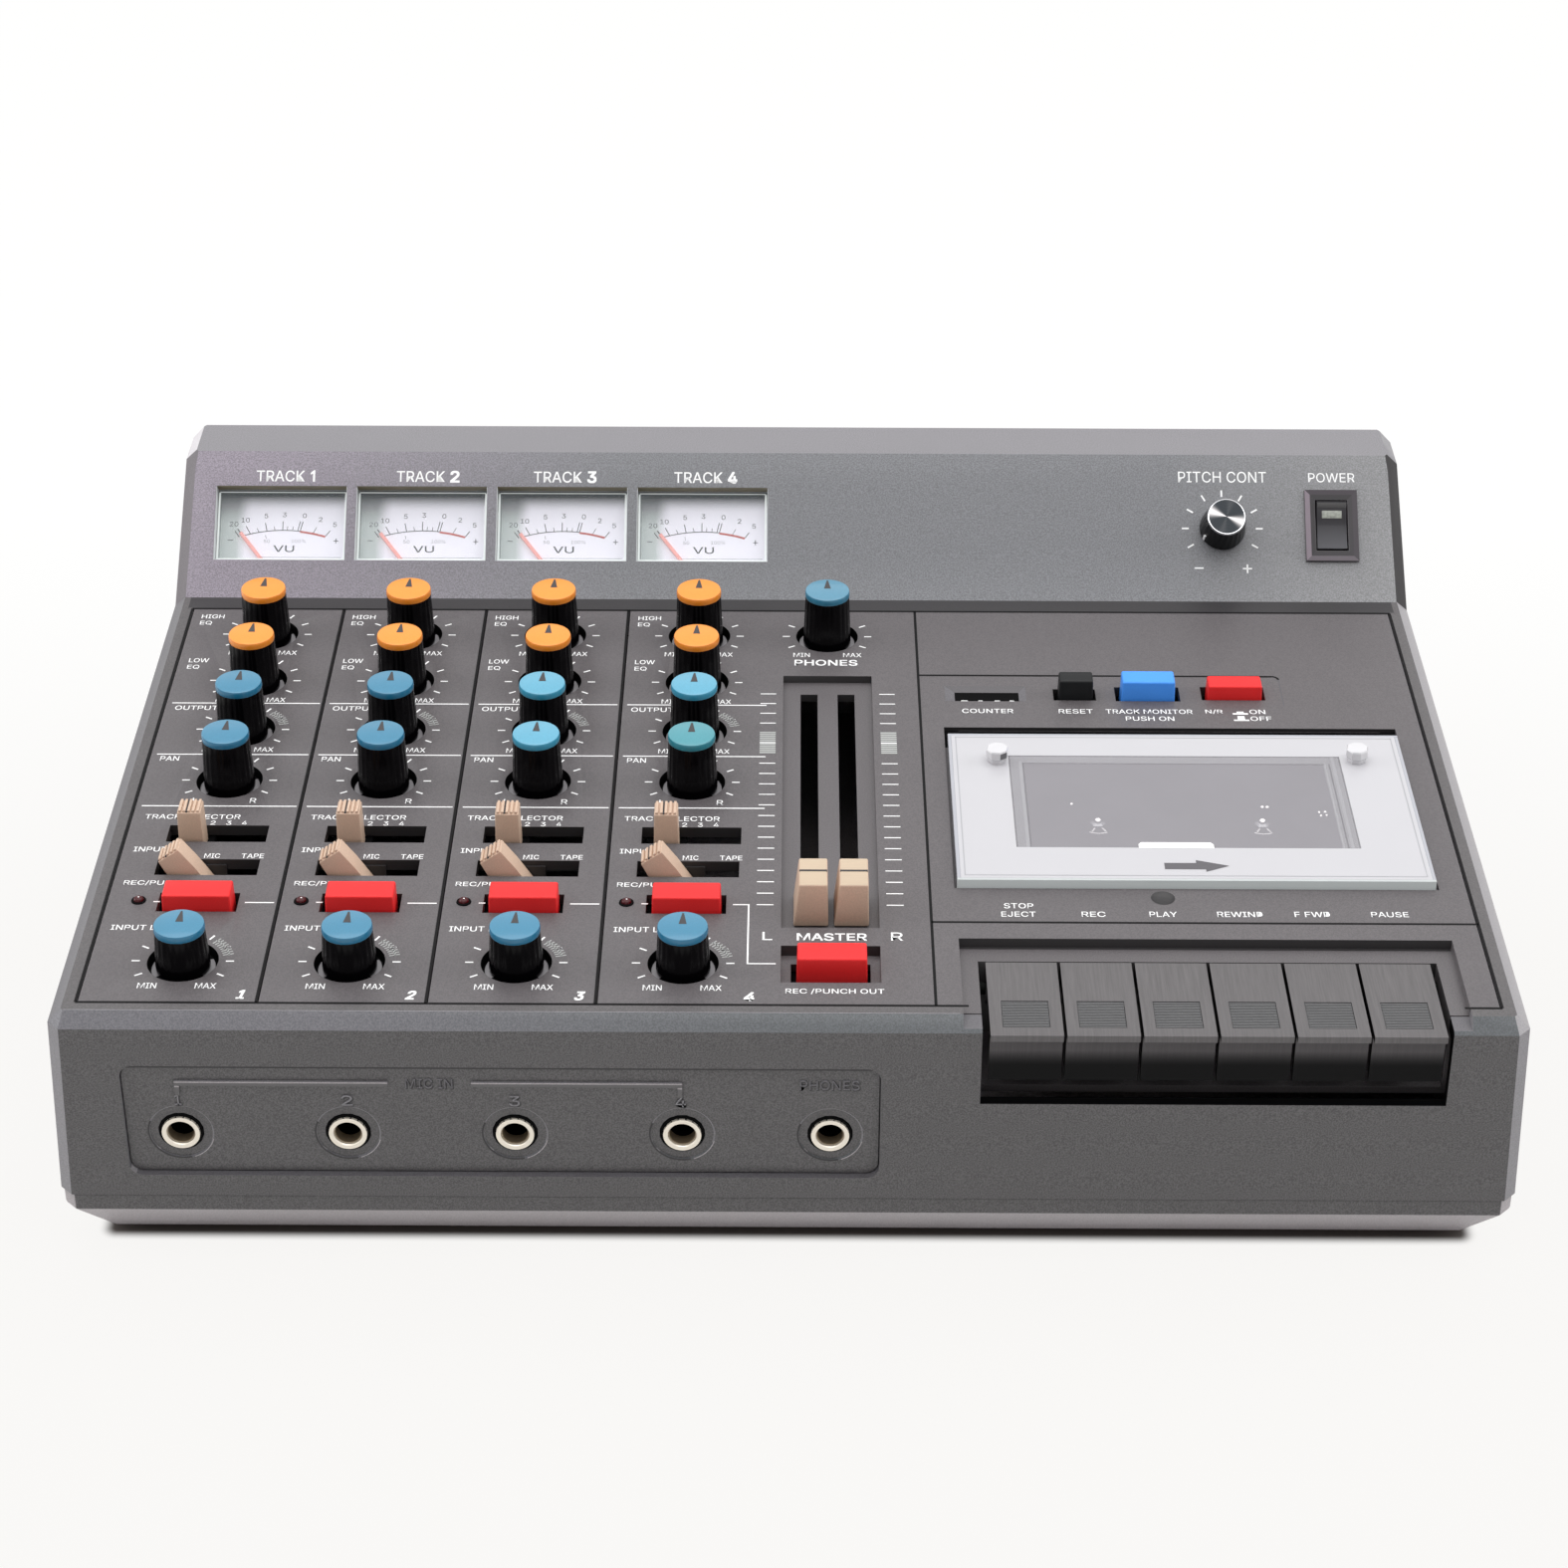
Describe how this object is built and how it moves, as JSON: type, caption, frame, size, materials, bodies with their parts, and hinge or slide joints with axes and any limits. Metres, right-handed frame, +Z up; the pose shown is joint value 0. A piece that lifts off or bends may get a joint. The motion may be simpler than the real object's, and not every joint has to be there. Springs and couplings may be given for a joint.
{
  "type": "four track cassette recorder",
  "caption": "Desktop cassette recorder with mixer strips, rotary knobs, master faders, needle meters, a clear lid, piano keys and front sockets.",
  "frame": {"origin": "middle of the bounding box, on the table", "axes": "+X to the right, +Y to the rear, +Z up"},
  "size_m": [0.3522, 0.2574, 0.0993],
  "materials": {
    "case_paint": "satin, fine metallic speckle",
    "foot_rubber": "matt",
    "panel_plastic": "satin",
    "deck_plastic": "matt",
    "socket_nickel": "polished",
    "meter_white": "smooth",
    "clear_window": "clear",
    "knob_black": "glossy",
    "lever_tan": "satin",
    "button_red": "smooth",
    "button_black": "smooth",
    "button_blue": "smooth",
    "needle_red": "matt",
    "key_plastic": "satin",
    "lid_acrylic": "clear plate, pale grey frame printed on the back"
  },
  "bodies": {
    "housing": {"upper_case": "case_paint", "bottom_case": "case_paint", "rubber_feet": "foot_rubber", "control_panel": "panel_plastic", "tape_deck": "deck_plastic", "jack_sockets": "socket_nickel", "meter_bodies": "meter_white", "meter_windows": "clear_window"},
    "ch1_high_eq_knob": {"ch1_high_eq_knob": "knob_black"},
    "ch1_low_eq_knob": {"ch1_low_eq_knob": "knob_black"},
    "ch1_output_knob": {"ch1_output_knob": "knob_black"},
    "ch1_pan_knob": {"ch1_pan_knob": "knob_black"},
    "ch1_input_level_knob": {"ch1_input_level_knob": "knob_black"},
    "ch1_track_lever": {"ch1_track_lever": "lever_tan"},
    "ch1_input_lever": {"ch1_input_lever": "lever_tan"},
    "ch1_rec_button": {"ch1_rec_button": "button_red"},
    "ch1_vu_needle": {"ch1_vu_needle": "needle_red"},
    "ch2_high_eq_knob": {"ch2_high_eq_knob": "knob_black"},
    "ch2_low_eq_knob": {"ch2_low_eq_knob": "knob_black"},
    "ch2_output_knob": {"ch2_output_knob": "knob_black"},
    "ch2_pan_knob": {"ch2_pan_knob": "knob_black"},
    "ch2_input_level_knob": {"ch2_input_level_knob": "knob_black"},
    "ch2_track_lever": {"ch2_track_lever": "lever_tan"},
    "ch2_input_lever": {"ch2_input_lever": "lever_tan"},
    "ch2_rec_button": {"ch2_rec_button": "button_red"},
    "ch2_vu_needle": {"ch2_vu_needle": "needle_red"},
    "ch3_high_eq_knob": {"ch3_high_eq_knob": "knob_black"},
    "ch3_low_eq_knob": {"ch3_low_eq_knob": "knob_black"},
    "ch3_output_knob": {"ch3_output_knob": "knob_black"},
    "ch3_pan_knob": {"ch3_pan_knob": "knob_black"},
    "ch3_input_level_knob": {"ch3_input_level_knob": "knob_black"},
    "ch3_track_lever": {"ch3_track_lever": "lever_tan"},
    "ch3_input_lever": {"ch3_input_lever": "lever_tan"},
    "ch3_rec_button": {"ch3_rec_button": "button_red"},
    "ch3_vu_needle": {"ch3_vu_needle": "needle_red"},
    "ch4_high_eq_knob": {"ch4_high_eq_knob": "knob_black"},
    "ch4_low_eq_knob": {"ch4_low_eq_knob": "knob_black"},
    "ch4_output_knob": {"ch4_output_knob": "knob_black"},
    "ch4_pan_knob": {"ch4_pan_knob": "knob_black"},
    "ch4_input_level_knob": {"ch4_input_level_knob": "knob_black"},
    "ch4_track_lever": {"ch4_track_lever": "lever_tan"},
    "ch4_input_lever": {"ch4_input_lever": "lever_tan"},
    "ch4_rec_button": {"ch4_rec_button": "button_red"},
    "ch4_vu_needle": {"ch4_vu_needle": "needle_red"},
    "phones_knob": {"phones_knob": "knob_black"},
    "pitch_knob": {"pitch_knob": "knob_black"},
    "fader_left": {"fader_left": "lever_tan"},
    "fader_right": {"fader_right": "lever_tan"},
    "punch_out_button": {"punch_out_button": "button_red"},
    "counter_reset_button": {"counter_reset_button": "button_black"},
    "track_monitor_button": {"track_monitor_button": "button_blue"},
    "noise_reduction_button": {"noise_reduction_button": "button_red"},
    "power_rocker": {"power_rocker": "knob_black"},
    "transport_key_1": {"transport_key_1": "key_plastic"},
    "transport_key_2": {"transport_key_2": "key_plastic"},
    "transport_key_3": {"transport_key_3": "key_plastic"},
    "transport_key_4": {"transport_key_4": "key_plastic"},
    "transport_key_5": {"transport_key_5": "key_plastic"},
    "transport_key_6": {"transport_key_6": "key_plastic"},
    "cassette_lid": {"cassette_lid": "lid_acrylic"}
  },
  "joints": [
    {"name": "ch1_high_eq_knob_turn", "type": "hinge", "parent": "housing", "child": "ch1_high_eq_knob", "pos_m": [-0.1453, 0.05322, 0.0695], "axis": [0, 0, 1], "range_deg": [-150, 150]},
    {"name": "ch1_low_eq_knob_turn", "type": "hinge", "parent": "housing", "child": "ch1_low_eq_knob", "pos_m": [-0.1453, 0.02812, 0.0695], "axis": [0, 0, 1], "range_deg": [-150, 150]},
    {"name": "ch1_output_knob_turn", "type": "hinge", "parent": "housing", "child": "ch1_output_knob", "pos_m": [-0.1453, 0.00282, 0.0695], "axis": [0, 0, 1], "range_deg": [-150, 150]},
    {"name": "ch1_pan_knob_turn", "type": "hinge", "parent": "housing", "child": "ch1_pan_knob", "pos_m": [-0.1453, -0.02238, 0.0695], "axis": [0, 0, 1], "range_deg": [-150, 150]},
    {"name": "ch1_input_level_knob_turn", "type": "hinge", "parent": "housing", "child": "ch1_input_level_knob", "pos_m": [-0.1453, -0.10328, 0.0695], "axis": [0, 0, 1], "range_deg": [-150, 150]},
    {"name": "ch1_track_lever_slide", "type": "slide", "parent": "housing", "child": "ch1_track_lever", "axis": [1, 0, 0], "range_m": [0, 0.012]},
    {"name": "ch1_input_lever_turn", "type": "hinge", "parent": "housing", "child": "ch1_input_lever", "pos_m": [-0.1453, -0.06283, 0.063], "axis": [0, 1, 0], "range_deg": [0, 70]},
    {"name": "ch1_rec_button_slide", "type": "slide", "parent": "housing", "child": "ch1_rec_button", "axis": [0, 0, -1], "range_m": [0, 0.003], "stiffness_N_per_m": 200, "springref_m": -0.002},
    {"name": "ch1_vu_needle_turn", "type": "hinge", "parent": "housing", "child": "ch1_vu_needle", "pos_m": [-0.1453, 0.08219, 0.0691], "axis": [0, -0.6781, 0.735], "range_deg": [-76, 0], "stiffness_Nm_per_rad": 0.00001, "springref_deg": 20.05},
    {"name": "ch2_high_eq_knob_turn", "type": "hinge", "parent": "housing", "child": "ch2_high_eq_knob", "pos_m": [-0.1053, 0.05322, 0.0695], "axis": [0, 0, 1], "range_deg": [-150, 150]},
    {"name": "ch2_low_eq_knob_turn", "type": "hinge", "parent": "housing", "child": "ch2_low_eq_knob", "pos_m": [-0.1053, 0.02812, 0.0695], "axis": [0, 0, 1], "range_deg": [-150, 150]},
    {"name": "ch2_output_knob_turn", "type": "hinge", "parent": "housing", "child": "ch2_output_knob", "pos_m": [-0.1053, 0.00282, 0.0695], "axis": [0, 0, 1], "range_deg": [-150, 150]},
    {"name": "ch2_pan_knob_turn", "type": "hinge", "parent": "housing", "child": "ch2_pan_knob", "pos_m": [-0.1053, -0.02238, 0.0695], "axis": [0, 0, 1], "range_deg": [-150, 150]},
    {"name": "ch2_input_level_knob_turn", "type": "hinge", "parent": "housing", "child": "ch2_input_level_knob", "pos_m": [-0.1053, -0.10328, 0.0695], "axis": [0, 0, 1], "range_deg": [-150, 150]},
    {"name": "ch2_track_lever_slide", "type": "slide", "parent": "housing", "child": "ch2_track_lever", "axis": [1, 0, 0], "range_m": [0, 0.012]},
    {"name": "ch2_input_lever_turn", "type": "hinge", "parent": "housing", "child": "ch2_input_lever", "pos_m": [-0.1053, -0.06283, 0.063], "axis": [0, 1, 0], "range_deg": [0, 70]},
    {"name": "ch2_rec_button_slide", "type": "slide", "parent": "housing", "child": "ch2_rec_button", "axis": [0, 0, -1], "range_m": [0, 0.003], "stiffness_N_per_m": 200, "springref_m": -0.002},
    {"name": "ch2_vu_needle_turn", "type": "hinge", "parent": "housing", "child": "ch2_vu_needle", "pos_m": [-0.1053, 0.08219, 0.0691], "axis": [0, -0.6781, 0.735], "range_deg": [-76, 0], "stiffness_Nm_per_rad": 0.00001, "springref_deg": 20.05},
    {"name": "ch3_high_eq_knob_turn", "type": "hinge", "parent": "housing", "child": "ch3_high_eq_knob", "pos_m": [-0.0653, 0.05322, 0.0695], "axis": [0, 0, 1], "range_deg": [-150, 150]},
    {"name": "ch3_low_eq_knob_turn", "type": "hinge", "parent": "housing", "child": "ch3_low_eq_knob", "pos_m": [-0.0653, 0.02812, 0.0695], "axis": [0, 0, 1], "range_deg": [-150, 150]},
    {"name": "ch3_output_knob_turn", "type": "hinge", "parent": "housing", "child": "ch3_output_knob", "pos_m": [-0.0653, 0.00282, 0.0695], "axis": [0, 0, 1], "range_deg": [-150, 150]},
    {"name": "ch3_pan_knob_turn", "type": "hinge", "parent": "housing", "child": "ch3_pan_knob", "pos_m": [-0.0653, -0.02238, 0.0695], "axis": [0, 0, 1], "range_deg": [-150, 150]},
    {"name": "ch3_input_level_knob_turn", "type": "hinge", "parent": "housing", "child": "ch3_input_level_knob", "pos_m": [-0.0653, -0.10328, 0.0695], "axis": [0, 0, 1], "range_deg": [-150, 150]},
    {"name": "ch3_track_lever_slide", "type": "slide", "parent": "housing", "child": "ch3_track_lever", "axis": [1, 0, 0], "range_m": [0, 0.012]},
    {"name": "ch3_input_lever_turn", "type": "hinge", "parent": "housing", "child": "ch3_input_lever", "pos_m": [-0.0653, -0.06283, 0.063], "axis": [0, 1, 0], "range_deg": [0, 70]},
    {"name": "ch3_rec_button_slide", "type": "slide", "parent": "housing", "child": "ch3_rec_button", "axis": [0, 0, -1], "range_m": [0, 0.003], "stiffness_N_per_m": 200, "springref_m": -0.002},
    {"name": "ch3_vu_needle_turn", "type": "hinge", "parent": "housing", "child": "ch3_vu_needle", "pos_m": [-0.0653, 0.08219, 0.0691], "axis": [0, -0.6781, 0.735], "range_deg": [-76, 0], "stiffness_Nm_per_rad": 0.00001, "springref_deg": 20.05},
    {"name": "ch4_high_eq_knob_turn", "type": "hinge", "parent": "housing", "child": "ch4_high_eq_knob", "pos_m": [-0.0253, 0.05322, 0.0695], "axis": [0, 0, 1], "range_deg": [-150, 150]},
    {"name": "ch4_low_eq_knob_turn", "type": "hinge", "parent": "housing", "child": "ch4_low_eq_knob", "pos_m": [-0.0253, 0.02812, 0.0695], "axis": [0, 0, 1], "range_deg": [-150, 150]},
    {"name": "ch4_output_knob_turn", "type": "hinge", "parent": "housing", "child": "ch4_output_knob", "pos_m": [-0.0253, 0.00282, 0.0695], "axis": [0, 0, 1], "range_deg": [-150, 150]},
    {"name": "ch4_pan_knob_turn", "type": "hinge", "parent": "housing", "child": "ch4_pan_knob", "pos_m": [-0.0253, -0.02238, 0.0695], "axis": [0, 0, 1], "range_deg": [-150, 150]},
    {"name": "ch4_input_level_knob_turn", "type": "hinge", "parent": "housing", "child": "ch4_input_level_knob", "pos_m": [-0.0253, -0.10328, 0.0695], "axis": [0, 0, 1], "range_deg": [-150, 150]},
    {"name": "ch4_track_lever_slide", "type": "slide", "parent": "housing", "child": "ch4_track_lever", "axis": [1, 0, 0], "range_m": [0, 0.012]},
    {"name": "ch4_input_lever_turn", "type": "hinge", "parent": "housing", "child": "ch4_input_lever", "pos_m": [-0.0253, -0.06283, 0.063], "axis": [0, 1, 0], "range_deg": [0, 70]},
    {"name": "ch4_rec_button_slide", "type": "slide", "parent": "housing", "child": "ch4_rec_button", "axis": [0, 0, -1], "range_m": [0, 0.003], "stiffness_N_per_m": 200, "springref_m": -0.002},
    {"name": "ch4_vu_needle_turn", "type": "hinge", "parent": "housing", "child": "ch4_vu_needle", "pos_m": [-0.0253, 0.08219, 0.0691], "axis": [0, -0.6781, 0.735], "range_deg": [-76, 0], "stiffness_Nm_per_rad": 0.00001, "springref_deg": 20.05},
    {"name": "phones_knob_turn", "type": "hinge", "parent": "housing", "child": "phones_knob", "pos_m": [0.0101, 0.05322, 0.0695], "axis": [0, 0, 1], "range_deg": [-150, 150]},
    {"name": "pitch_knob_turn", "type": "hinge", "parent": "housing", "child": "pitch_knob", "pos_m": [0.1225, 0.08993, 0.08426], "axis": [0, -0.6781, 0.735], "range_deg": [-240, 0]},
    {"name": "fader_left_slide", "type": "slide", "parent": "housing", "child": "fader_left", "axis": [0, 1, 0], "range_m": [0, 0.1005]},
    {"name": "fader_right_slide", "type": "slide", "parent": "housing", "child": "fader_right", "axis": [0, 1, 0], "range_m": [0, 0.1005]},
    {"name": "punch_out_button_slide", "type": "slide", "parent": "housing", "child": "punch_out_button", "axis": [0, 0, -1], "range_m": [0, 0.003], "stiffness_N_per_m": 200, "springref_m": -0.002},
    {"name": "counter_reset_button_slide", "type": "slide", "parent": "housing", "child": "counter_reset_button", "axis": [0, 0, -1], "range_m": [0, 0.003], "stiffness_N_per_m": 200, "springref_m": -0.002},
    {"name": "track_monitor_button_slide", "type": "slide", "parent": "housing", "child": "track_monitor_button", "axis": [0, 0, -1], "range_m": [0, 0.003], "stiffness_N_per_m": 200, "springref_m": -0.002},
    {"name": "noise_reduction_button_slide", "type": "slide", "parent": "housing", "child": "noise_reduction_button", "axis": [0, 0, -1], "range_m": [0, 0.003], "stiffness_N_per_m": 200, "springref_m": -0.002},
    {"name": "power_rocker_turn", "type": "hinge", "parent": "housing", "child": "power_rocker", "pos_m": [0.1535, 0.09119, 0.08407], "axis": [-1, 0, 0], "range_deg": [0, 10]},
    {"name": "transport_key_1_turn", "type": "hinge", "parent": "housing", "child": "transport_key_1", "pos_m": [0.05595, -0.10188, 0.0615], "axis": [1, 0, 0], "range_deg": [0, 8], "stiffness_Nm_per_rad": 0.3, "springref_deg": -2.86},
    {"name": "transport_key_2_turn", "type": "hinge", "parent": "housing", "child": "transport_key_2", "pos_m": [0.07393, -0.10188, 0.0615], "axis": [1, 0, 0], "range_deg": [0, 8], "stiffness_Nm_per_rad": 0.3, "springref_deg": -2.86},
    {"name": "transport_key_3_turn", "type": "hinge", "parent": "housing", "child": "transport_key_3", "pos_m": [0.09191, -0.10188, 0.0615], "axis": [1, 0, 0], "range_deg": [0, 8], "stiffness_Nm_per_rad": 0.3, "springref_deg": -2.86},
    {"name": "transport_key_4_turn", "type": "hinge", "parent": "housing", "child": "transport_key_4", "pos_m": [0.10989, -0.10188, 0.0615], "axis": [1, 0, 0], "range_deg": [0, 8], "stiffness_Nm_per_rad": 0.3, "springref_deg": -2.86},
    {"name": "transport_key_5_turn", "type": "hinge", "parent": "housing", "child": "transport_key_5", "pos_m": [0.12787, -0.10188, 0.0615], "axis": [1, 0, 0], "range_deg": [0, 8], "stiffness_Nm_per_rad": 0.3, "springref_deg": -2.86},
    {"name": "transport_key_6_turn", "type": "hinge", "parent": "housing", "child": "transport_key_6", "pos_m": [0.14585, -0.10188, 0.0615], "axis": [1, 0, 0], "range_deg": [0, 8], "stiffness_Nm_per_rad": 0.3, "springref_deg": -2.86},
    {"name": "cassette_lid_turn", "type": "hinge", "parent": "housing", "child": "cassette_lid", "pos_m": [0.1009, 0.00182, 0.06805], "axis": [-1, 0, 0], "range_deg": [0, 85]}
  ]
}
